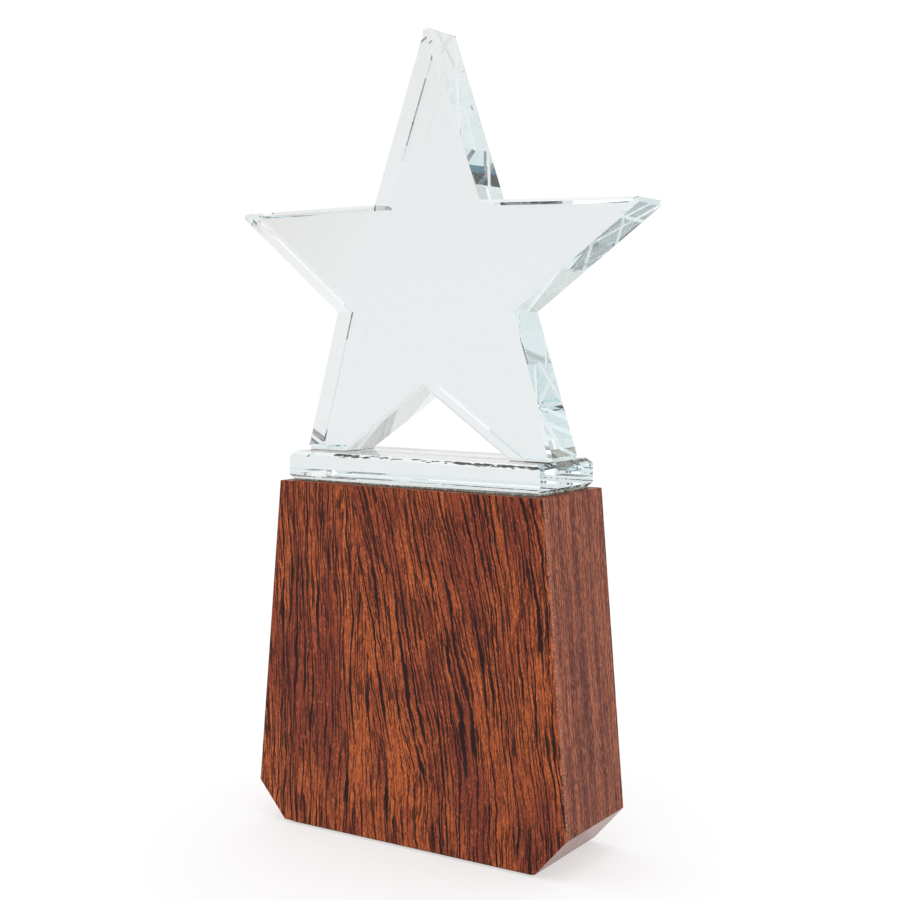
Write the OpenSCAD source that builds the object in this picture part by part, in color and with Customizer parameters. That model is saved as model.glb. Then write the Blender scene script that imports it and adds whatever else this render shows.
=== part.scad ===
// Star award: a clear crystal star on a clear crystal plinth, cemented to a veneered wood block.
// Millimetres. X runs along the front, Y runs to the back and Z is up.
// The origin is at the middle of the footprint, on the surface that the award stands on.

/* [Crystal star] */
// Thickness of the star from front face to back face
star_thickness = 18; // [14:0.5:24]
// Width of the ground bevel round both faces
star_bevel = 1; // [0.6:0.1:1.1]
// Width of the blunt flat ground on each sharp corner
corner_flat = 1.6; // [1.6:0.1:2.4]
// Height of the top point above the feet, before it is blunted
tip_height = 136.6; // [125:0.1:150]
// Distance from the centre line to each side point, before it is blunted
arm_reach = 75.8; // [70:0.1:82]
// Height of the side points above the feet
arm_height = 79; // [76:0.1:84]
// Distance from the centre line to each upper notch
upper_notch_reach = 19.8; // [17:0.1:23]
// Height of the upper notches above the feet
upper_notch_height = 80.2; // [77:0.1:84]
// Distance from the centre line to the right lower notch
right_notch_reach = 31.9; // [29:0.1:36]
// Distance from the centre line to the left lower notch, which is ground a little shallower
left_notch_reach = 34.5; // [29:0.1:36]
// Height of the lower notches above the feet
lower_notch_height = 45.8; // [42:0.1:50]
// Height of the crotch between the legs above the feet
crotch_height = 21.7; // [18:0.1:26]
// Distance from the centre line to the outer end of each foot
foot_outer = 46.8; // [44:0.1:47]
// Distance from the centre line to the inner end of each foot
foot_inner = 31.3; // [29:0.1:34]

/* [Crystal plinth] */
// Width of the plinth
plinth_width = 94.5; // [94:0.5:98]
// Depth of the plinth from front to back
plinth_depth = 35; // [30:0.5:38]
// Height of the plinth
plinth_height = 9; // [7:0.5:14]
// Size of the 45 degree bevel round the top of the plinth
plinth_top_bevel = 1.6; // [0.5:0.1:2.5]
// Size of the 45 degree bevel round the bottom of the plinth
plinth_bottom_bevel = 1.2; // [0.5:0.1:2.5]

/* [Wood base] */
// Width of the block at its top
base_top_width = 98.5; // [98:0.5:106]
// Width of the block at its shoulders, where the side faces meet the lower chamfers
base_shoulder_width = 117; // [110:0.5:130]
// Width of the block at its underside
base_foot_width = 96; // [90:0.5:105]
// Depth of the block from front to back
base_depth = 40; // [38:0.5:50]
// Height of the block, with its veneer
base_height = 114.8; // [90:0.1:140]
// Height of the shoulders above the underside of the block
shoulder_height = 12; // [8:0.5:20]
// Thickness of the veneer with its lacquer
veneer_thickness = 0.8; // [0.6:0.1:1.5]

/* [Glue and felt] */
// Thickness of the cured film under each foot of the star
star_bond_thickness = 0.2; // [0.2:0.1:0.5]
// Thickness of the adhesive bed between the plinth and the wood
plinth_bed_thickness = 0.6; // [0.3:0.1:1]
// Thickness of the felt under the block
felt_thickness = 1; // [0.8:0.1:2]
// Distance from the edge of the underside to the edge of the felt
felt_margin = 2; // [1:0.5:5]

/* [Hidden] */

// Levels, from the felt up
block_z = felt_thickness;
bed_z = block_z + base_height;
plinth_z = bed_z + plinth_bed_thickness;
bond_z = plinth_z + plinth_height;
star_z = bond_z + star_bond_thickness;

crystal = [0.90, 0.93, 0.93, 0.45];
cement = [0.62, 0.66, 0.60];
rosewood = [0.55, 0.25, 0.13];
rosewood_side = [0.50, 0.27, 0.19];

// The star's twelve corners in the XZ plane, clockwise from the top: [x, z, is it blunted]
star_corners = [
    [0, tip_height, true],
    [upper_notch_reach, upper_notch_height, false],
    [arm_reach, arm_height, true],
    [right_notch_reach, lower_notch_height, false],
    [foot_outer, 0, true],
    [foot_inner, 0, false],
    [0, crotch_height, false],
    [-foot_inner, 0, false],
    [-foot_outer, 0, true],
    [-left_notch_reach, lower_notch_height, false],
    [-arm_reach, arm_height, true],
    [-upper_notch_reach, upper_notch_height, false]
];
star_outline = blunted(star_corners, corner_flat);

// The wood block's outline in the XZ plane, clockwise from the lower left, and the same line
// moved in by one veneer on every side but the underside
block_outline = [
    [-base_foot_width / 2, 0],
    [-base_shoulder_width / 2, shoulder_height],
    [-base_top_width / 2, base_height],
    [base_top_width / 2, base_height],
    [base_shoulder_width / 2, shoulder_height],
    [base_foot_width / 2, 0]
];
core_outline = [for (i = [0 : 5]) core_corner(i)];

// Unit vector from p to q
function along(p, q) = (q - p) / norm(q - p);

// The right-hand normal of a direction, which points inwards on a clockwise outline
function inward(d) = [d[1], -d[0]];

// Distance back from a corner with sides u and v at which a cut across it is w wide
function cut_back(u, v, w) = w / 2 / sin(acos(u * v) / 2);

// Cuts a flat of width w across every corner that is marked true
function blunted(corners, w) = [
    for (i = [0 : len(corners) - 1])
        let (n = len(corners),
             p = corners[i],
             here = [p[0], p[1]],
             last = corners[(i + n - 1) % n],
             next = corners[(i + 1) % n],
             u = along(here, [last[0], last[1]]),
             v = along(here, [next[0], next[1]]),
             d = p[2] ? cut_back(u, v, w) : 0)
        each p[2] ? [here + d * u, here + d * v] : [here]
];

// Moves a clockwise outline in by c, with mitred corners
function moved_in(outline, c) = [
    for (i = [0 : len(outline) - 1])
        let (n = len(outline),
             a = inward(along(outline[(i + n - 1) % n], outline[i])),
             b = inward(along(outline[i], outline[(i + 1) % n])))
        outline[i] + c * (a + b) / (1 + a * b)
];

// Corner i of the core: on the underside it slides along Z = 0, elsewhere it is a mitre
function core_corner(i) =
    let (mitre = moved_in(block_outline, veneer_thickness)[i],
         run = i == 0 ? along(block_outline[0], block_outline[1])
                      : along(block_outline[5], block_outline[4]))
    block_outline[i][1] > 0 ? mitre : mitre - run * mitre[1] / run[1];

// Extrudes the XZ outline that is its child from y0 to y1
module along_y(y0, y1) {
    translate([0, y1, 0]) rotate([90, 0, 0]) linear_extrude(y1 - y0) children();
}

// A slab standing on the XZ plane, whose two faces are moved in by the bevel. Each face is a fan of
// triangles round a hub on the centre line, from which every corner of the outline can be seen.
module bevelled_slab(outline, hub_z, thickness, bevel) {
    n = len(outline);
    half = thickness / 2;
    face = moved_in(outline, bevel);
    rings = [[face, -half], [outline, bevel - half], [outline, half - bevel], [face, half]];
    hubs = [[0, -half, hub_z], [0, half, hub_z]];
    points = concat([for (ring = rings) for (p = ring[0]) [p[0], ring[1], p[1]]], hubs);
    last_ring = len(rings) - 1;
    front_hub = len(rings) * n;
    back_hub = front_hub + 1;
    front = [for (i = [0 : n - 1]) [front_hub, i, (i + 1) % n]];
    back = [for (i = [0 : n - 1]) [back_hub, last_ring * n + (i + 1) % n, last_ring * n + i]];
    walls = [for (r = [0 : last_ring - 1]) for (i = [0 : n - 1])
        [r * n + i, (r + 1) * n + i, (r + 1) * n + (i + 1) % n, r * n + (i + 1) % n]];
    polyhedron(points, concat(front, back, walls), convexity = 8);
}

// The star stands on its two cut feet
module crystal_star() {
    color(crystal) translate([0, 0, star_z])
        bevelled_slab(star_outline, (crotch_height + upper_notch_height) / 2, star_thickness, star_bevel);
}

// The film under one foot covers the flat of the foot; side is -1 on the left and 1 on the right
module star_bond(side) {
    leg_side = along([foot_outer, 0], [right_notch_reach, lower_notch_height]);
    outer = foot_outer - cut_back(leg_side, [-1, 0], corner_flat);
    size = [outer - foot_inner, star_thickness - 2 * star_bevel, star_bond_thickness];
    color(cement) translate([side * (foot_inner + outer) / 2, 0, bond_z + size[2] / 2])
        cube(size, center = true);
}

module star_bond_left() { star_bond(-1); }

module star_bond_right() { star_bond(1); }

// One outline of the plinth, width w, with a bevel at the top and a bevel at the bottom
module plinth_profile(w) {
    t = plinth_top_bevel;
    b = plinth_bottom_bevel;
    h = plinth_height;
    polygon([[b - w / 2, 0], [-w / 2, b], [-w / 2, h - t], [t - w / 2, h],
             [w / 2 - t, h], [w / 2, h - t], [w / 2, b], [w / 2 - b, 0]]);
}

// The plinth is where its front profile and its side profile cross
module crystal_plinth() {
    color(crystal) translate([0, 0, plinth_z]) intersection() {
        along_y(-plinth_depth / 2, plinth_depth / 2) plinth_profile(plinth_width);
        rotate([0, 0, 90])
            along_y(-plinth_width / 2, plinth_width / 2) plinth_profile(plinth_depth);
    }
}

// The bed covers the flat of the plinth's underside
module plinth_adhesive() {
    flat = 2 * plinth_bottom_bevel;
    color(cement) translate([0, 0, bed_z + plinth_bed_thickness / 2])
        cube([plinth_width - flat, plinth_depth - flat, plinth_bed_thickness], center = true);
}

// The solid heart of the block, under its veneers
module base_core() {
    y = base_depth / 2 - veneer_thickness;
    color("tan") translate([0, 0, block_z]) along_y(-y, y) polygon(core_outline);
}

// A face veneer covers the whole front or back outline; side is -1 in front and 1 behind
module face_veneer(side) {
    outside = side * base_depth / 2;
    inside = side * (base_depth / 2 - veneer_thickness);
    color(rosewood) translate([0, 0, block_z])
        along_y(min(outside, inside), max(outside, inside)) polygon(block_outline);
}

module front_veneer() { face_veneer(-1); }

module back_veneer() { face_veneer(1); }

// An edge veneer lies between the face veneers, on the outline's side from corner i to corner i + 1
module edge_veneer(i) {
    y = base_depth / 2 - veneer_thickness;
    color(rosewood_side) translate([0, 0, block_z]) along_y(-y, y)
        polygon([block_outline[i], block_outline[i + 1], core_outline[i + 1], core_outline[i]]);
}

module left_chamfer_veneer() { edge_veneer(0); }

module left_side_veneer() { edge_veneer(1); }

module top_veneer() { edge_veneer(2); }

module right_side_veneer() { edge_veneer(3); }

module right_chamfer_veneer() { edge_veneer(4); }

// The felt keeps the block off the table
module felt_pad() {
    size = [base_foot_width - 2 * felt_margin, base_depth - 2 * felt_margin, felt_thickness];
    color("darkgreen") translate([0, 0, felt_thickness / 2]) cube(size, center = true);
}

crystal_star();
star_bond_left();
star_bond_right();
crystal_plinth();
plinth_adhesive();
base_core();
front_veneer();
back_veneer();
left_side_veneer();
right_side_veneer();
left_chamfer_veneer();
right_chamfer_veneer();
top_veneer();
felt_pad();
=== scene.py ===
"""Looks of the crystal star award: clear crystal, figured wood veneers, glue and felt, on a pale floor.

Lengths are in metres and the frame is the CAD model's: Z up, X along the front, Y towards the back.
"""
import math
import random

import bmesh
import bpy
from mathutils import Matrix, Vector, noise


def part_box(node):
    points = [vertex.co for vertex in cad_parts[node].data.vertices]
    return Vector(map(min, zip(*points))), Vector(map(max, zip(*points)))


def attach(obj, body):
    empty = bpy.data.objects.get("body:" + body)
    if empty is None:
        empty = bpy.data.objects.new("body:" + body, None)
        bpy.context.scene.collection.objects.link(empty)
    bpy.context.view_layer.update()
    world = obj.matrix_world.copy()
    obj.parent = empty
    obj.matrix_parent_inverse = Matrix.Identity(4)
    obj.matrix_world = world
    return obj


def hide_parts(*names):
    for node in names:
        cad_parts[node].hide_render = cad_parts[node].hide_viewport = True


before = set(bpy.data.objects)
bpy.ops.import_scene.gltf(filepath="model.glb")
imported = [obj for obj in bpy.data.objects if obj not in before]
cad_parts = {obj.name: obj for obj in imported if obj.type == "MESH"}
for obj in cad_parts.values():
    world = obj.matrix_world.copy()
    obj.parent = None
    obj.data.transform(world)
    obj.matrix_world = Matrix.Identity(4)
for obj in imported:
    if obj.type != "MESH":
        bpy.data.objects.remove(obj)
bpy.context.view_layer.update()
MM = 0.001


# ---------------------------------------------------------------- node helpers

class Graph:
    """A material's or world's node tree, with short calls for the nodes that the looks need."""

    def __init__(self, owner):
        owner.use_nodes = True
        self.tree = owner.node_tree
        self.tree.nodes.clear()

    def node(self, kind, **settings):
        made = self.tree.nodes.new(kind)
        for name, value in settings.items():
            setattr(made, name, value)
        return made

    def feed(self, socket, value):
        """Links value into socket when it is another node's output, and stores it otherwise."""
        if isinstance(value, bpy.types.NodeSocket):
            self.tree.links.new(value, socket)
        else:
            socket.default_value = value

    def math(self, operation, a, b=0.0, c=0.0):
        made = self.node("ShaderNodeMath", operation=operation)
        for socket, value in zip(made.inputs, (a, b, c)):
            self.feed(socket, value)
        return made.outputs[0]

    def position(self):
        """The point in the CAD frame, in millimetres, as three outputs."""
        point = self.node("ShaderNodeTexCoord").outputs["Object"]
        scaled = self.node("ShaderNodeVectorMath", operation="SCALE")
        self.feed(scaled.inputs[0], point)
        scaled.inputs["Scale"].default_value = 1 / MM
        split = self.node("ShaderNodeSeparateXYZ")
        self.feed(split.inputs[0], scaled.outputs[0])
        return split.outputs

    def vector(self, x, y, z):
        made = self.node("ShaderNodeCombineXYZ")
        for socket, value in zip(made.inputs, (x, y, z)):
            self.feed(socket, value)
        return made.outputs[0]

    def noise(self, vector, scale, detail=2.0, roughness=0.5):
        made = self.node("ShaderNodeTexNoise")
        self.feed(made.inputs["Vector"], vector)
        made.inputs["Scale"].default_value = scale
        made.inputs["Detail"].default_value = detail
        made.inputs["Roughness"].default_value = roughness
        return made.outputs["Fac"]

    def blotches(self, scale, detail=2.0, roughness=0.5):
        """Noise of the same size in every direction."""
        x, y, z = self.position()
        return self.noise(self.vector(x, y, z), scale, detail, roughness)

    def ramp(self, value, low, high, out_low=0.0, out_high=1.0, smooth=True):
        """Maps value from low..high to out_low..out_high, and holds it beyond them."""
        made = self.node("ShaderNodeMapRange")
        made.interpolation_type = "SMOOTHSTEP" if smooth else "LINEAR"
        limits = {"From Min": low, "From Max": high, "To Min": out_low, "To Max": out_high}
        for name, number in limits.items():
            self.feed(made.inputs[name], number)
        self.feed(made.inputs["Value"], value)
        return made.outputs["Result"]

    def mix(self, factor, a, b):
        made = self.node("ShaderNodeMix", data_type="RGBA")
        self.feed(made.inputs["Factor"], factor)
        self.feed(made.inputs["A"], a)
        self.feed(made.inputs["B"], b)
        return made.outputs["Result"]

    def bump(self, height, strength, distance):
        made = self.node("ShaderNodeBump")
        self.feed(made.inputs["Height"], height)
        made.inputs["Strength"].default_value = strength
        made.inputs["Distance"].default_value = distance
        return made.outputs["Normal"]

    def principled(self, **values):
        """A Principled surface, whose output node is returned; names use _ for a space."""
        shader = self.node("ShaderNodeBsdfPrincipled")
        for name, value in values.items():
            self.feed(shader.inputs[name.replace("_", " ")], value)
        output = self.node("ShaderNodeOutputMaterial")
        self.feed(output.inputs["Surface"], shader.outputs[0])
        return output


def srgb(red, green, blue):
    """A colour given as 0 to 255 display values, as linear RGBA."""
    def linear(value):
        part = value / 255
        return part / 12.92 if part <= 0.04045 else ((part + 0.055) / 1.055) ** 2.4
    return (linear(red), linear(green), linear(blue), 1.0)


def new_material(name):
    material = bpy.data.materials.new(name)
    return material, Graph(material)


def dress(node_name, material):
    """Puts one material on a CAD node."""
    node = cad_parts[node_name]
    node.data.materials.clear()
    node.data.materials.append(material)


# ---------------------------------------------------------------- crystal

CRYSTAL_IOR = 1.52
# The crystal's surface tints are painted shade: the grey one dims all that is seen through the clear crystal,
# and the warm one is a shaded band on its left side
CRYSTAL_PAINTED_SHADE_TINT = (0.81, 0.818, 0.822, 1.0)
CRYSTAL_PAINTED_WARM_SHADE = (0.762, 0.756, 0.74, 1.0)
DEPTH_COLOUR = (0.34, 0.74, 0.79, 1.0)
DEPTH_DENSITY = 2.2


def crystal_material():
    """Clear polished crystal: a grey tint all over that is painted shade, a painted warm-grey shade in a
    faint cloud on its left side, and a green tint through its depth.
    """
    material, graph = new_material("clear_crystal")
    x, y, z = graph.position()
    diagonal = graph.math("MULTIPLY_ADD", z, -0.75, x)
    cloud = graph.noise(graph.vector(diagonal, y, graph.math("MULTIPLY", z, 0.4)), 0.016, 1.0)
    left_side = graph.ramp(diagonal, -215.0, -165.0, 1.0, 0.0)
    # Painted warm-grey shade, broken up by a cloud, over the left side
    warm = graph.math("MULTIPLY", left_side, graph.ramp(cloud, 0.3, 0.6, 0.5, 1.0))
    output = graph.principled(
        Base_Color=graph.mix(warm, CRYSTAL_PAINTED_SHADE_TINT, CRYSTAL_PAINTED_WARM_SHADE),
        Roughness=0.0,
        IOR=CRYSTAL_IOR,
        Transmission_Weight=1.0,
    )
    depth = graph.node("ShaderNodeVolumeAbsorption")
    depth.inputs["Color"].default_value = DEPTH_COLOUR
    depth.inputs["Density"].default_value = DEPTH_DENSITY
    graph.feed(output.inputs["Volume"], depth.outputs[0])
    return material


# ---------------------------------------------------------------- wood

# The seam in the grain passes this height at this X, in millimetres, and moves this far in X for each one
# that it goes down
SEAM_TOP = 112.0
SEAM_TOP_X = -19.0
SEAM_LEAN = 0.10

LACQUER_IOR = 1.45
PORE_DEPTH = 0.06 * MM
FACE_COAT = 0.08
EDGE_COAT = 0.05
# The chamfers keep more of the lacquer
CHAMFER_COAT = 0.55


def face_veneer_material(name, seed):
    """Orange-brown veneer with crisp dark figure, which is upright left of a seam and slanted right of it."""
    material, graph = new_material(name)
    x, _, z = graph.position()
    seed_x = graph.math("ADD", x, seed)

    def at_height(rate):
        return graph.math("MULTIPLY", z, rate)

    def shifted(line, texture, reach):
        about_zero = graph.math("SUBTRACT", texture, 0.5)
        return graph.math("ADD", line, graph.math("MULTIPLY", about_zero, reach))

    # The grain line: X, slanted on the far side of the seam, and wandering a little
    drop = graph.math("SUBTRACT", SEAM_TOP, z)
    seam = graph.math("MULTIPLY_ADD", drop, SEAM_LEAN, SEAM_TOP_X)
    seam = shifted(seam, graph.noise(graph.vector(seed, seed, z), 0.05, 1.0), 8.0)
    beyond_seam = graph.ramp(graph.math("SUBTRACT", x, seam), -0.15, 0.15)
    slant = graph.ramp(x, 30.0, 62.0, 0.19, 0.12)
    slant = graph.math("MULTIPLY", slant, graph.ramp(z, 0.0, 30.0, 0.78, 1.0))
    slant = graph.math("MULTIPLY_ADD", slant, beyond_seam, 0.015)
    line = graph.math("SUBTRACT", seed_x, graph.math("MULTIPLY", drop, slant))
    line = shifted(line, graph.noise(graph.vector(seed_x, seed, at_height(0.5)), 0.035, 1.0), 7.0)
    line = shifted(line, graph.noise(graph.vector(seed_x, seed, at_height(0.45)), 0.20, 3.0, 0.6), 1.6)
    ripple = graph.noise(graph.vector(seed_x, seed, at_height(0.7)), 0.6, 3.0, 0.65)
    line = shifted(line, ripple, graph.ramp(beyond_seam, 0.0, 1.0, 0.45, 1.05))

    def stretched(offset, scale, rate, detail=2.0, roughness=0.6):
        """Noise drawn out along the grain: scale is across it, and rate is how fast it runs up it."""
        place = graph.vector(line, seed + offset, at_height(rate))
        return graph.noise(place, scale, detail, roughness)

    def ruled(period, wander, scale, rate):
        """Waves across the grain whose spacing wanders: 1 on a line's middle and -1 between lines."""
        phase = graph.math("DIVIDE", line, period)
        phase = shifted(phase, stretched(period, scale, rate), wander)
        return graph.math("SINE", graph.math("MULTIPLY", phase, math.tau))

    def drawn(waves, edge, softness):
        return graph.ramp(waves, edge, graph.math("ADD", edge, softness))

    # Long dark lines, thinner broken lines between them, and short dark flecks
    long_edge = graph.ramp(stretched(200, 0.30, 0.09), 0.36, 0.64, 0.5, 1.02, smooth=False)
    long_lines = drawn(ruled(2.8, 2.6, 0.13, 0.15), long_edge, 0.2)
    thin_edge = graph.ramp(stretched(160, 0.7, 0.05), 0.36, 0.64, -0.05, 1.15, smooth=False)
    thin_lines = drawn(ruled(1.3, 3.6, 0.24, 0.12), thin_edge, 0.3)
    flecks = graph.ramp(stretched(240, 1.6, 0.09, 3.0), 0.40, 0.44, 1.0, 0.0)
    dark = graph.math("MAXIMUM", long_lines, graph.math("MULTIPLY", thin_lines, 0.9))
    dark = graph.math("MAXIMUM", dark, graph.math("MULTIPLY", flecks, 0.75))

    # Colour between the lines: slow zones, fibre and fine mottle
    zones = graph.ramp(stretched(120, 0.11, 0.2, 3.0, 0.6), 0.34, 0.62)
    fibre = stretched(80, 2.4, 0.1, 3.0, 0.65)
    mottle = graph.noise(graph.vector(line, seed, at_height(0.55)), 1.7, 2.0, 0.7)
    light = graph.mix(zones, srgb(197, 101, 53), srgb(143, 66, 45))
    light = graph.mix(graph.ramp(fibre, 0.42, 0.62, 0.0, 0.6), light, srgb(100, 42, 31))
    light = graph.mix(graph.ramp(mottle, 0.44, 0.64, 0.0, 0.5), light, srgb(100, 46, 34))
    light = graph.mix(graph.ramp(mottle, 0.30, 0.42, 0.45, 0.0), light, srgb(214, 126, 76))
    colour = graph.mix(dark, light, srgb(42, 22, 22))

    relief = graph.math("SUBTRACT", graph.math("MULTIPLY", fibre, 0.35), dark)
    graph.principled(
        Base_Color=colour,
        Roughness=graph.ramp(dark, 0.0, 1.0, 0.34, 0.5),
        Specular_IOR_Level=0.08,
        Normal=graph.bump(relief, 0.25, PORE_DEPTH),
        Coat_Weight=FACE_COAT,
        Coat_Roughness=0.12,
        Coat_IOR=LACQUER_IOR,
    )
    return material


def edge_veneer_material(name, seed, coat):
    """Pinkish-brown straight-grained veneer with short fine pores; the grain runs up the block."""
    material, graph = new_material(name)
    x, y, z = graph.position()
    across = graph.math("ADD", y, seed)
    sway = graph.noise(graph.vector(across, seed, graph.math("MULTIPLY", z, 0.3)), 0.05, 1.0)
    across = graph.math("ADD", across, graph.math("MULTIPLY", sway, 4.0))
    depth = graph.math("MULTIPLY", x, 0.05)

    def up_the_grain(scale, rate, detail, roughness):
        """Noise drawn out up the block: scale is across the grain, and rate is how fast it runs up it."""
        place = graph.vector(across, depth, graph.math("MULTIPLY", z, rate))
        return graph.noise(place, scale, detail, roughness)

    bands = up_the_grain(0.3, 0.02, 3.0, 0.6)
    streaks = up_the_grain(1.5, 0.03, 2.0, 0.6)
    pores = up_the_grain(3.8, 0.13, 3.0, 0.7)
    colour = graph.mix(graph.ramp(bands, 0.40, 0.60), srgb(160, 90, 64), srgb(98, 46, 40))
    colour = graph.mix(graph.ramp(streaks, 0.47, 0.58, 0.0, 0.7), colour, srgb(84, 38, 33))
    colour = graph.mix(graph.ramp(streaks, 0.36, 0.46, 0.5, 0.0), colour, srgb(184, 110, 78))
    colour = graph.mix(graph.ramp(pores, 0.48, 0.60, 0.0, 0.8), colour, srgb(74, 36, 32))
    colour = graph.mix(graph.ramp(pores, 0.36, 0.47, 0.6, 0.0), colour, srgb(196, 122, 86))
    # Pale specks beside the front corner: a painted highlight along the lit corner
    speckle = graph.noise(graph.vector(x, y, z), 1.9, 2.0, 0.7)
    by_corner = graph.ramp(y, -19.0, -15.5, 0.8, 0.0)
    painted_corner_highlight = graph.math("MULTIPLY", graph.ramp(speckle, 0.52, 0.60), by_corner)
    colour = graph.mix(painted_corner_highlight, colour, srgb(206, 142, 116))
    graph.principled(
        Base_Color=colour,
        Roughness=graph.ramp(pores, 0.3, 0.7, 0.32, 0.46),
        Specular_IOR_Level=0.05,
        Normal=graph.bump(pores, 0.3, PORE_DEPTH),
        Coat_Weight=coat,
        Coat_Roughness=0.1,
        Coat_IOR=LACQUER_IOR,
    )
    return material


def core_material():
    """Plain board under the veneers, with its layers of fibre."""
    material, graph = new_material("core_board")
    x, y, z = graph.position()
    chips = graph.noise(graph.vector(x, y, graph.math("MULTIPLY", z, 0.5)), 0.9, 3.0)
    graph.principled(
        Base_Color=graph.mix(chips, srgb(196, 164, 122), srgb(140, 106, 72)),
        Roughness=0.8,
        Normal=graph.bump(chips, 0.3, 0.1 * MM),
    )
    return material


# ---------------------------------------------------------------- glue and felt

GLUE_RELIEF = 0.05 * MM


def foot_glue_material(name, colour_at):
    """Cured film under a foot; colour_at(graph, x, y) gives its colour, which on the films and the right rim
    is painted light and shade, with blots in it.
    """
    material, graph = new_material(name)
    x, y, z = graph.position()
    blots = graph.noise(graph.vector(x, y, z), 0.55, 3.0, 0.6)
    wander = graph.math("MULTIPLY", graph.math("SUBTRACT", blots, 0.5), 2.0)
    colour = colour_at(graph, graph.math("ADD", x, wander), graph.math("ADD", y, wander))
    graph.principled(
        Base_Color=graph.mix(graph.ramp(blots, 0.4, 0.7, 0.0, 0.15), colour, srgb(112, 108, 98)),
        Roughness=0.35,
        Normal=graph.bump(blots, 0.2, GLUE_RELIEF),
    )
    return material


def left_film_painted_light_and_shade(graph, x, y):
    """Painted light and shade seen through the crystal: pale, and slate along the back."""
    # The slate along the back is painted shade
    return graph.mix(graph.ramp(y, 4.5, 5.5), srgb(246, 250, 252), srgb(100, 108, 122))


def right_film_painted_light_and_shade(graph, x, y):
    """Painted light and shade seen through the crystal: cream behind a slanting edge, with a grey inner rim;
    in front of it teal, then a nearly black painted shade.
    """
    # Every colour here is painted light and shade; the nearly black one is painted shade
    front = graph.mix(graph.ramp(x, 34.0, 34.5), srgb(110, 162, 190), srgb(36, 40, 46))
    back = graph.mix(graph.ramp(x, 32.2, 32.7), srgb(120, 122, 126), srgb(232, 222, 200))
    slanting_edge = graph.math("MULTIPLY_ADD", x, 0.25, y)
    return graph.mix(graph.ramp(slanting_edge, 9.4, 9.9), front, back)


def left_rim_colour(graph, x, y):
    """Pale, and a little pinker at the back."""
    return graph.mix(graph.ramp(y, -0.5, 0.5), srgb(224, 222, 210), srgb(244, 236, 232))


def right_rim_painted_shade(graph, x, y):
    """Nearly black painted shade along the outer half of the front, and pale elsewhere."""
    # Nearly black painted shade along the outer half of the front
    outer_front = graph.math("MULTIPLY", graph.ramp(x, 36.6, 37.4), graph.ramp(y, -6.0, -5.0, 1.0, 0.0))
    return graph.mix(outer_front, left_rim_colour(graph, x, y), srgb(34, 28, 28))


def bed_material():
    """Thin clear adhesive over the dark wood, clouded in places; its nearly white colour is painted light,
    for the light that passes through the clear adhesive.
    """
    material, graph = new_material("plinth_bed_glue")
    cloud = graph.blotches(0.9, 3.0, 0.7)
    graph.principled(
        # The nearly white colours are painted light
        Base_Color=graph.mix(graph.ramp(cloud, 0.35, 0.65), srgb(246, 238, 241), srgb(214, 200, 205)),
        Roughness=0.3,
        Normal=graph.bump(cloud, 0.2, GLUE_RELIEF),
    )
    return material


def speck_material():
    """Spots where the adhesive has wetted the plinth and the dark wood shows through it."""
    material, graph = new_material("wetted_specks")
    stain = graph.blotches(1.4, 2.0, 0.6)
    graph.principled(
        Base_Color=graph.mix(graph.ramp(stain, 0.35, 0.65), srgb(24, 12, 7), srgb(74, 40, 22)),
        Roughness=0.4,
        Normal=graph.bump(stain, 0.2, GLUE_RELIEF),
    )
    return material


def rim_material():
    """The adhesive's squeezed-out rim, grey-green, with darker blots that are painted shade from the gap
    under the plinth.
    """
    material, graph = new_material("adhesive_rim")
    speckle = graph.blotches(1.1, 3.0, 0.7)
    graph.principled(
        # The darker grey-green blots are painted shade from the gap under the plinth
        Base_Color=graph.mix(graph.ramp(speckle, 0.35, 0.62), srgb(206, 208, 192), srgb(108, 110, 98)),
        Roughness=0.5,
        Normal=graph.bump(speckle, 0.4, 0.1 * MM),
    )
    return material


def felt_material():
    """Short dark green pile."""
    material, graph = new_material("green_felt")
    pile = graph.blotches(2.4, 3.0, 0.7)
    graph.principled(
        Base_Color=graph.mix(pile, srgb(28, 44, 34), srgb(52, 70, 56)),
        Roughness=0.95,
        Sheen_Weight=0.4,
        Normal=graph.bump(pile, 0.6, 0.2 * MM),
    )
    return material


def wall(work, lower, upper):
    """Joins two closed rings of corners with a band of faces."""
    count = len(lower)
    for i in range(count):
        work.faces.new((lower[i], lower[(i + 1) % count], upper[(i + 1) % count], upper[i]))


def place_mesh(work, name):
    """Turns a bmesh into an object in the scene."""
    mesh = bpy.data.meshes.new(name)
    work.to_mesh(mesh)
    work.free()
    made = bpy.data.objects.new(name, mesh)
    bpy.context.collection.objects.link(made)
    return made


# A sheet's rim: its points to the millimetre, its levels (height and swell, as shares of the thickness and
# of the greatest swell), and the greatest swell as a share of the overhang
RIM_STEPS_PER_MM = 1.6
RIM_LEVELS = [(-0.5, 0.0), (-0.25, 1.0), (0.25, 1.0), (0.5, 0.0)]
RIM_SWELL = 0.4


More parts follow.
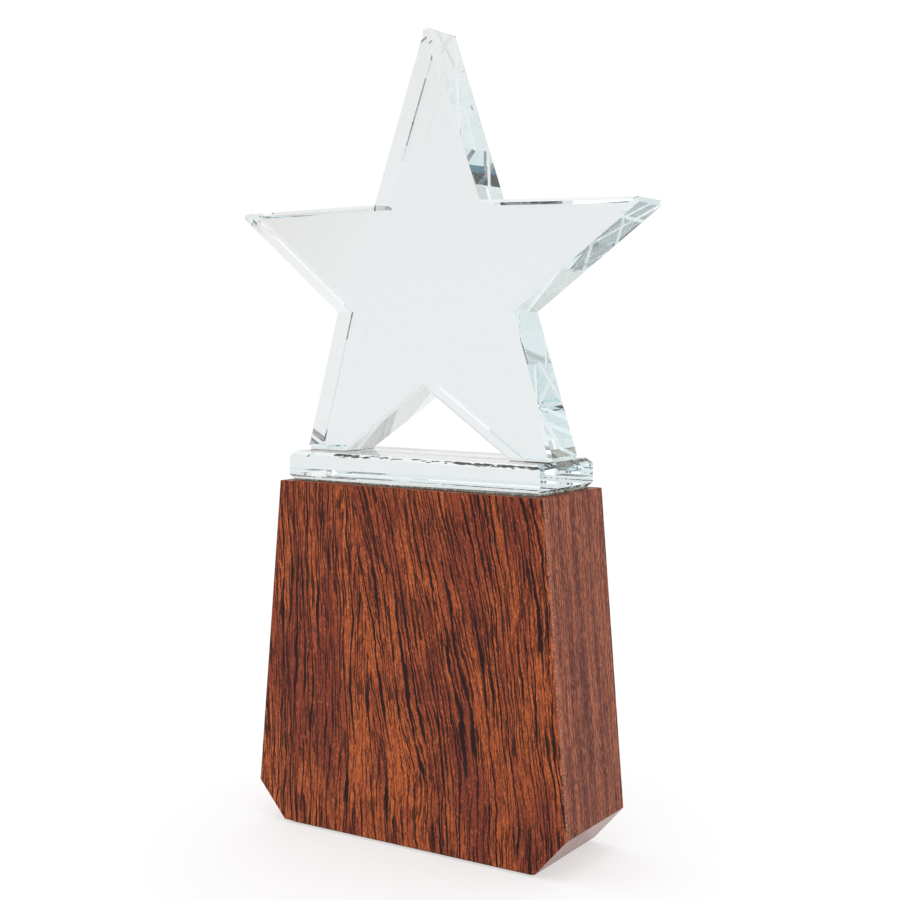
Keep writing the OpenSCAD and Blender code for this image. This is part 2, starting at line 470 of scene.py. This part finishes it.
def ragged_sheet(name, centre, width, depth, thickness, overhang, seed):
    """A thin sheet of squeezed-out glue: a box whose rim wanders in and out by up to overhang."""
    outline = []
    corners = [(-1, -1), (1, -1), (1, 1), (-1, 1)]
    for index, (sx, sy) in enumerate(corners):
        ex, ey = corners[(index + 1) % 4]
        start = Vector((sx * width / 2, sy * depth / 2, 0))
        end = Vector((ex * width / 2, ey * depth / 2, 0))
        count = max(2, int((end - start).length / MM * RIM_STEPS_PER_MM))
        out = Vector((end.y - start.y, start.x - end.x, 0)).normalized()
        for step in range(count):
            point = start.lerp(end, step / count)
            place = Vector((point.x, point.y, seed * MM)) / MM
            wander = noise.noise(place * 0.45) + 0.6 * noise.noise(place * 1.3)
            outline.append(point + out * overhang * max(-1.0, min(1.0, 1.4 * wander)))
    work = bmesh.new()
    swell = overhang * RIM_SWELL
    rings = []
    for level, bulge in RIM_LEVELS:
        ring = []
        for point in outline:
            away = Vector((point.x / width, point.y / depth, 0)).normalized()
            at = point + away * swell * bulge + Vector((0, 0, level * thickness)) + centre
            ring.append(work.verts.new(at))
        rings.append(ring)
    for lower, upper in zip(rings, rings[1:]):
        wall(work, lower, upper)
    work.faces.new(list(reversed(rings[0])))
    work.faces.new(rings[-1])
    bmesh.ops.recalc_face_normals(work, faces=work.faces)
    return place_mesh(work, name)


def glue_piece(name, node_name, looks, overhang, reach_down, reach_up, seed):
    """A ragged sheet that stands for a CAD glue node.

    It reaches past the node's underside and top by the two reaches, and one below zero leaves a gap.
    The looks are those of its top, its underside and its rim.
    """
    low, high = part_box(node_name)
    low.z -= reach_down
    high.z += reach_up
    size = high - low
    piece = ragged_sheet(name, (low + high) / 2, size.x, size.y, size.z, overhang, seed)
    for look in looks:
        piece.data.materials.append(look)
    for face in piece.data.polygons:
        if abs(face.normal.z) < 0.9:
            face.material_index = 2
        elif face.normal.z < 0:
            face.material_index = 1
    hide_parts(node_name)
    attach(piece, "root")


# The line of specks under the plinth (millimetres): each patch's start, end and number of specks along X,
# then the line's middle, spread and furthest back in Y
SPECK_PATCHES = [(-38.0, -27.0, 40), (-27.0, 9.0, 30), (9.0, 41.0, 130)]
SPECK_LINE = 2.9
SPECK_SPREAD = 0.75
SPECK_FURTHEST_BACK = 3.6
SPECK_SIDES = 9
SPECK_SEED = 7


def add_speck(work, draw, patch_start, patch_end, bottom, top):
    """Adds one flat ragged speck to the mesh, somewhere along its patch."""
    x = draw.uniform(patch_start, patch_end)
    y = min(draw.gauss(SPECK_LINE, SPECK_SPREAD), SPECK_FURTHEST_BACK)
    centre = Vector((x, y, 0)) * MM
    long_half = draw.uniform(0.4, 1.5) * MM
    short_half = draw.uniform(0.3, 0.7) * MM
    lean = draw.uniform(-0.35, 0.35)
    lower = []
    upper = []
    for step in range(SPECK_SIDES):
        turn = step / SPECK_SIDES * math.tau
        swell = draw.uniform(0.65, 1.25)
        along = math.cos(turn) * long_half * swell
        across = math.sin(turn) * short_half * swell + lean * along
        lower.append(work.verts.new((centre.x + along, centre.y + across, bottom)))
        upper.append(work.verts.new((centre.x + along, centre.y + across, top)))
    wall(work, lower, upper)
    work.faces.new(list(reversed(lower)))
    work.faces.new(upper)


def bed_specks(reach):
    """Specks of adhesive in a broken line near the plinth's middle, which reach into its underside."""
    _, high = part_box("plinth_adhesive")
    draw = random.Random(SPECK_SEED)
    work = bmesh.new()
    for patch_start, patch_end, count in SPECK_PATCHES:
        for _ in range(count):
            add_speck(work, draw, patch_start, patch_end, high.z - 2 * reach, high.z + reach)
    bmesh.ops.recalc_face_normals(work, faces=work.faces)
    specks = place_mesh(work, "bed_specks")
    specks.data.materials.append(speck_material())
    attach(specks, "root")


# ---------------------------------------------------------------- floor, light and camera

# The floor is a lit table. The light that comes up through it makes a little over half of its brightness
FLOOR_COLOUR = (0.40, 0.40, 0.40, 1.0)
LIGHT_THROUGH_FLOOR = 0.56
FLOOR_RADII = (0.4, 1.5, 6.0, 30.0)
FLOOR_SIDES = 96


def make_floor():
    """A wide pale floor that runs out to the horizon."""
    work = bmesh.new()
    hub = work.verts.new((0, 0, 0))
    turns = [step / FLOOR_SIDES * math.tau for step in range(FLOOR_SIDES)]
    loops = []
    for radius in FLOOR_RADII:
        places = [(radius * math.cos(turn), radius * math.sin(turn), 0) for turn in turns]
        loops.append([work.verts.new(place) for place in places])
    for i in range(FLOOR_SIDES):
        work.faces.new((hub, loops[0][i], loops[0][(i + 1) % FLOOR_SIDES]))
    for inner, outer in zip(loops, loops[1:]):
        for i in range(FLOOR_SIDES):
            following = (i + 1) % FLOOR_SIDES
            work.faces.new((inner[i], outer[i], outer[following], inner[following]))
    floor = place_mesh(work, "floor")
    material, graph = new_material("pale_paper")
    tooth = graph.blotches(0.4, 3.0)
    graph.principled(
        Base_Color=FLOOR_COLOUR,
        Emission_Color=(1.0, 1.0, 1.0, 1.0),
        Emission_Strength=LIGHT_THROUGH_FLOOR,
        Roughness=0.9,
        Specular_IOR_Level=0.0,
        Normal=graph.bump(tooth, 0.05, 0.1 * MM),
    )
    floor.data.materials.append(material)


SKY_SIDES = (1.03, 1.03, 1.03, 1.0)
SKY_FRONT = (0.80, 0.80, 0.77, 1.0)
SKY_OVERHEAD = (1.34, 1.34, 1.34, 1.0)


def make_world():
    """Soft white surroundings: brighter overhead, and dimmer in front of the award."""
    world = bpy.data.worlds.new("studio")
    bpy.context.scene.world = world
    graph = Graph(world)
    direction = graph.node("ShaderNodeTexCoord").outputs["Generated"]
    split = graph.node("ShaderNodeSeparateXYZ")
    graph.feed(split.inputs[0], direction)
    towards_front = graph.ramp(split.outputs["Y"], -0.80, -0.2, 1.0, 0.0)
    above_horizon = graph.ramp(split.outputs["Z"], 0.0, 0.22)
    dim = graph.math("MULTIPLY", towards_front, above_horizon)
    overhead = graph.ramp(split.outputs["Z"], 0.4, 0.9)
    sides = graph.mix(dim, SKY_SIDES, SKY_FRONT)
    background = graph.node("ShaderNodeBackground")
    graph.feed(background.inputs["Color"], graph.mix(overhead, sides, SKY_OVERHEAD))
    background.inputs["Strength"].default_value = 1.0
    output = graph.node("ShaderNodeOutputWorld")
    graph.feed(output.inputs["Surface"], background.outputs[0])


SOFTBOX_PLACE = Vector((-0.3, 0.0, 1.6))
SOFTBOX_TARGET = Vector((0.0, 0.0, 0.1))
SOFTBOX_SIDE = 1.2
SOFTBOX_POWER = 2.0
SOFTBOX_COLOUR = (1.0, 0.98, 0.96)


def make_softbox():
    """One large warm-white light over the award."""
    data = bpy.data.lights.new("overhead_softbox", "AREA")
    data.shape = "RECTANGLE"
    data.size = SOFTBOX_SIDE
    data.size_y = SOFTBOX_SIDE
    data.energy = SOFTBOX_POWER
    data.color = SOFTBOX_COLOUR
    light = bpy.data.objects.new("overhead_softbox", data)
    light.location = SOFTBOX_PLACE
    aim = SOFTBOX_TARGET - SOFTBOX_PLACE
    light.rotation_euler = aim.to_track_quat("-Z", "Y").to_euler()
    bpy.context.collection.objects.link(light)


# The camera's angles are in degrees, its lens and sensor in millimetres
CAMERA_AZIMUTH = 32.11
CAMERA_ELEVATION = 4.64
CAMERA_ROLL = 0.28
CAMERA_DISTANCE = 482.16 * MM
CAMERA_TARGET = Vector((4.51, 0.0, 127.0)) * MM
CAMERA_LENS = 59.69
SENSOR_WIDTH = 36.0


def make_camera():
    """The photograph's view, with a slight roll and everything in focus."""
    azimuth = math.radians(CAMERA_AZIMUTH)
    elevation = math.radians(CAMERA_ELEVATION)
    roll = math.radians(CAMERA_ROLL)
    back = Vector((math.sin(azimuth) * math.cos(elevation),
                   -math.cos(azimuth) * math.cos(elevation),
                   math.sin(elevation)))
    level_right = Vector((math.cos(azimuth), math.sin(azimuth), 0))
    level_up = back.cross(level_right)
    right = level_right * math.cos(roll) + level_up * math.sin(roll)
    up = back.cross(right)
    data = bpy.data.cameras.new("camera")
    data.sensor_width = SENSOR_WIDTH
    data.lens = CAMERA_LENS
    data.clip_start = 0.01
    data.clip_end = 100.0
    camera = bpy.data.objects.new("camera", data)
    turn = Matrix((right, up, back)).transposed().to_4x4()
    camera.matrix_world = Matrix.Translation(CAMERA_TARGET + back * CAMERA_DISTANCE) @ turn
    bpy.context.collection.objects.link(camera)
    bpy.context.scene.camera = camera


# ---------------------------------------------------------------- build

EASED_EDGE = 0.2 * MM
JOIN_WITHIN = 0.001 * MM
SHARP_FROM = math.radians(25)


def soften_edges(node_name):
    """Rounds a CAD node's sharp edges; the weld joins its faces' split vertices, which the bevel needs."""
    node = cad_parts[node_name]
    weld = node.modifiers.new("joined_faces", "WELD")
    weld.merge_threshold = JOIN_WITHIN
    bevel = node.modifiers.new("eased_edges", "BEVEL")
    bevel.width = EASED_EDGE
    bevel.segments = 2
    bevel.limit_method = "ANGLE"
    bevel.angle_limit = SHARP_FROM
    bevel.harden_normals = True


EDGE_VENEERS = [
    "right_side_veneer",
    "left_side_veneer",
    "right_chamfer_veneer",
    "left_chamfer_veneer",
    "top_veneer",
]
FRONT_FIGURE_SEED = 11.0
BACK_FIGURE_SEED = 173.0
EDGE_SEED_STEP = 31.0

crystal = crystal_material()
dress("crystal_star", crystal)
dress("crystal_plinth", crystal)
dress("base_core", core_material())
dress("front_veneer", face_veneer_material("front_figure", FRONT_FIGURE_SEED))
dress("back_veneer", face_veneer_material("back_figure", BACK_FIGURE_SEED))
dress("felt_pad", felt_material())
for index, veneer in enumerate(EDGE_VENEERS):
    coat = CHAMFER_COAT if "chamfer" in veneer else EDGE_COAT
    dress(veneer, edge_veneer_material(veneer + "_grain", EDGE_SEED_STEP * index, coat))
for veneer in ["front_veneer", "back_veneer"] + EDGE_VENEERS:
    soften_edges(veneer)

# Glue runs this far into what it has wetted, and the bed stops this far below the plinth
WETTING = 0.02 * MM
FOOT_OVERHANG = 0.3 * MM
BED_OVERHANG = 0.5 * MM
left_film = foot_glue_material("left_foot_film", left_film_painted_light_and_shade)
left_rim = foot_glue_material("left_foot_rim", left_rim_colour)
right_film = foot_glue_material("right_foot_film", right_film_painted_light_and_shade)
right_rim = foot_glue_material("right_foot_rim", right_rim_painted_shade)
left_looks = (left_film, left_rim, left_rim)
right_looks = (right_film, left_rim, right_rim)
bed = bed_material()
bed_looks = (bed, bed, rim_material())
glue_piece("left_foot_glue", "star_bond_left", left_looks, FOOT_OVERHANG, WETTING, WETTING, seed=5)
glue_piece("right_foot_glue", "star_bond_right", right_looks, FOOT_OVERHANG, WETTING, WETTING, seed=17)
glue_piece("plinth_bed", "plinth_adhesive", bed_looks, BED_OVERHANG, WETTING, -WETTING, seed=29)
bed_specks(WETTING)

make_floor()
make_world()
make_softbox()
make_camera()
bpy.context.scene.view_settings.view_transform = "Standard"
# Light crosses many crystal faces before it leaves
MOST_BOUNCES = 40
MOST_CRYSTAL_BOUNCES = 36
light_paths = bpy.context.scene.cycles
light_paths.max_bounces = MOST_BOUNCES
light_paths.glossy_bounces = MOST_CRYSTAL_BOUNCES
light_paths.transmission_bounces = MOST_CRYSTAL_BOUNCES
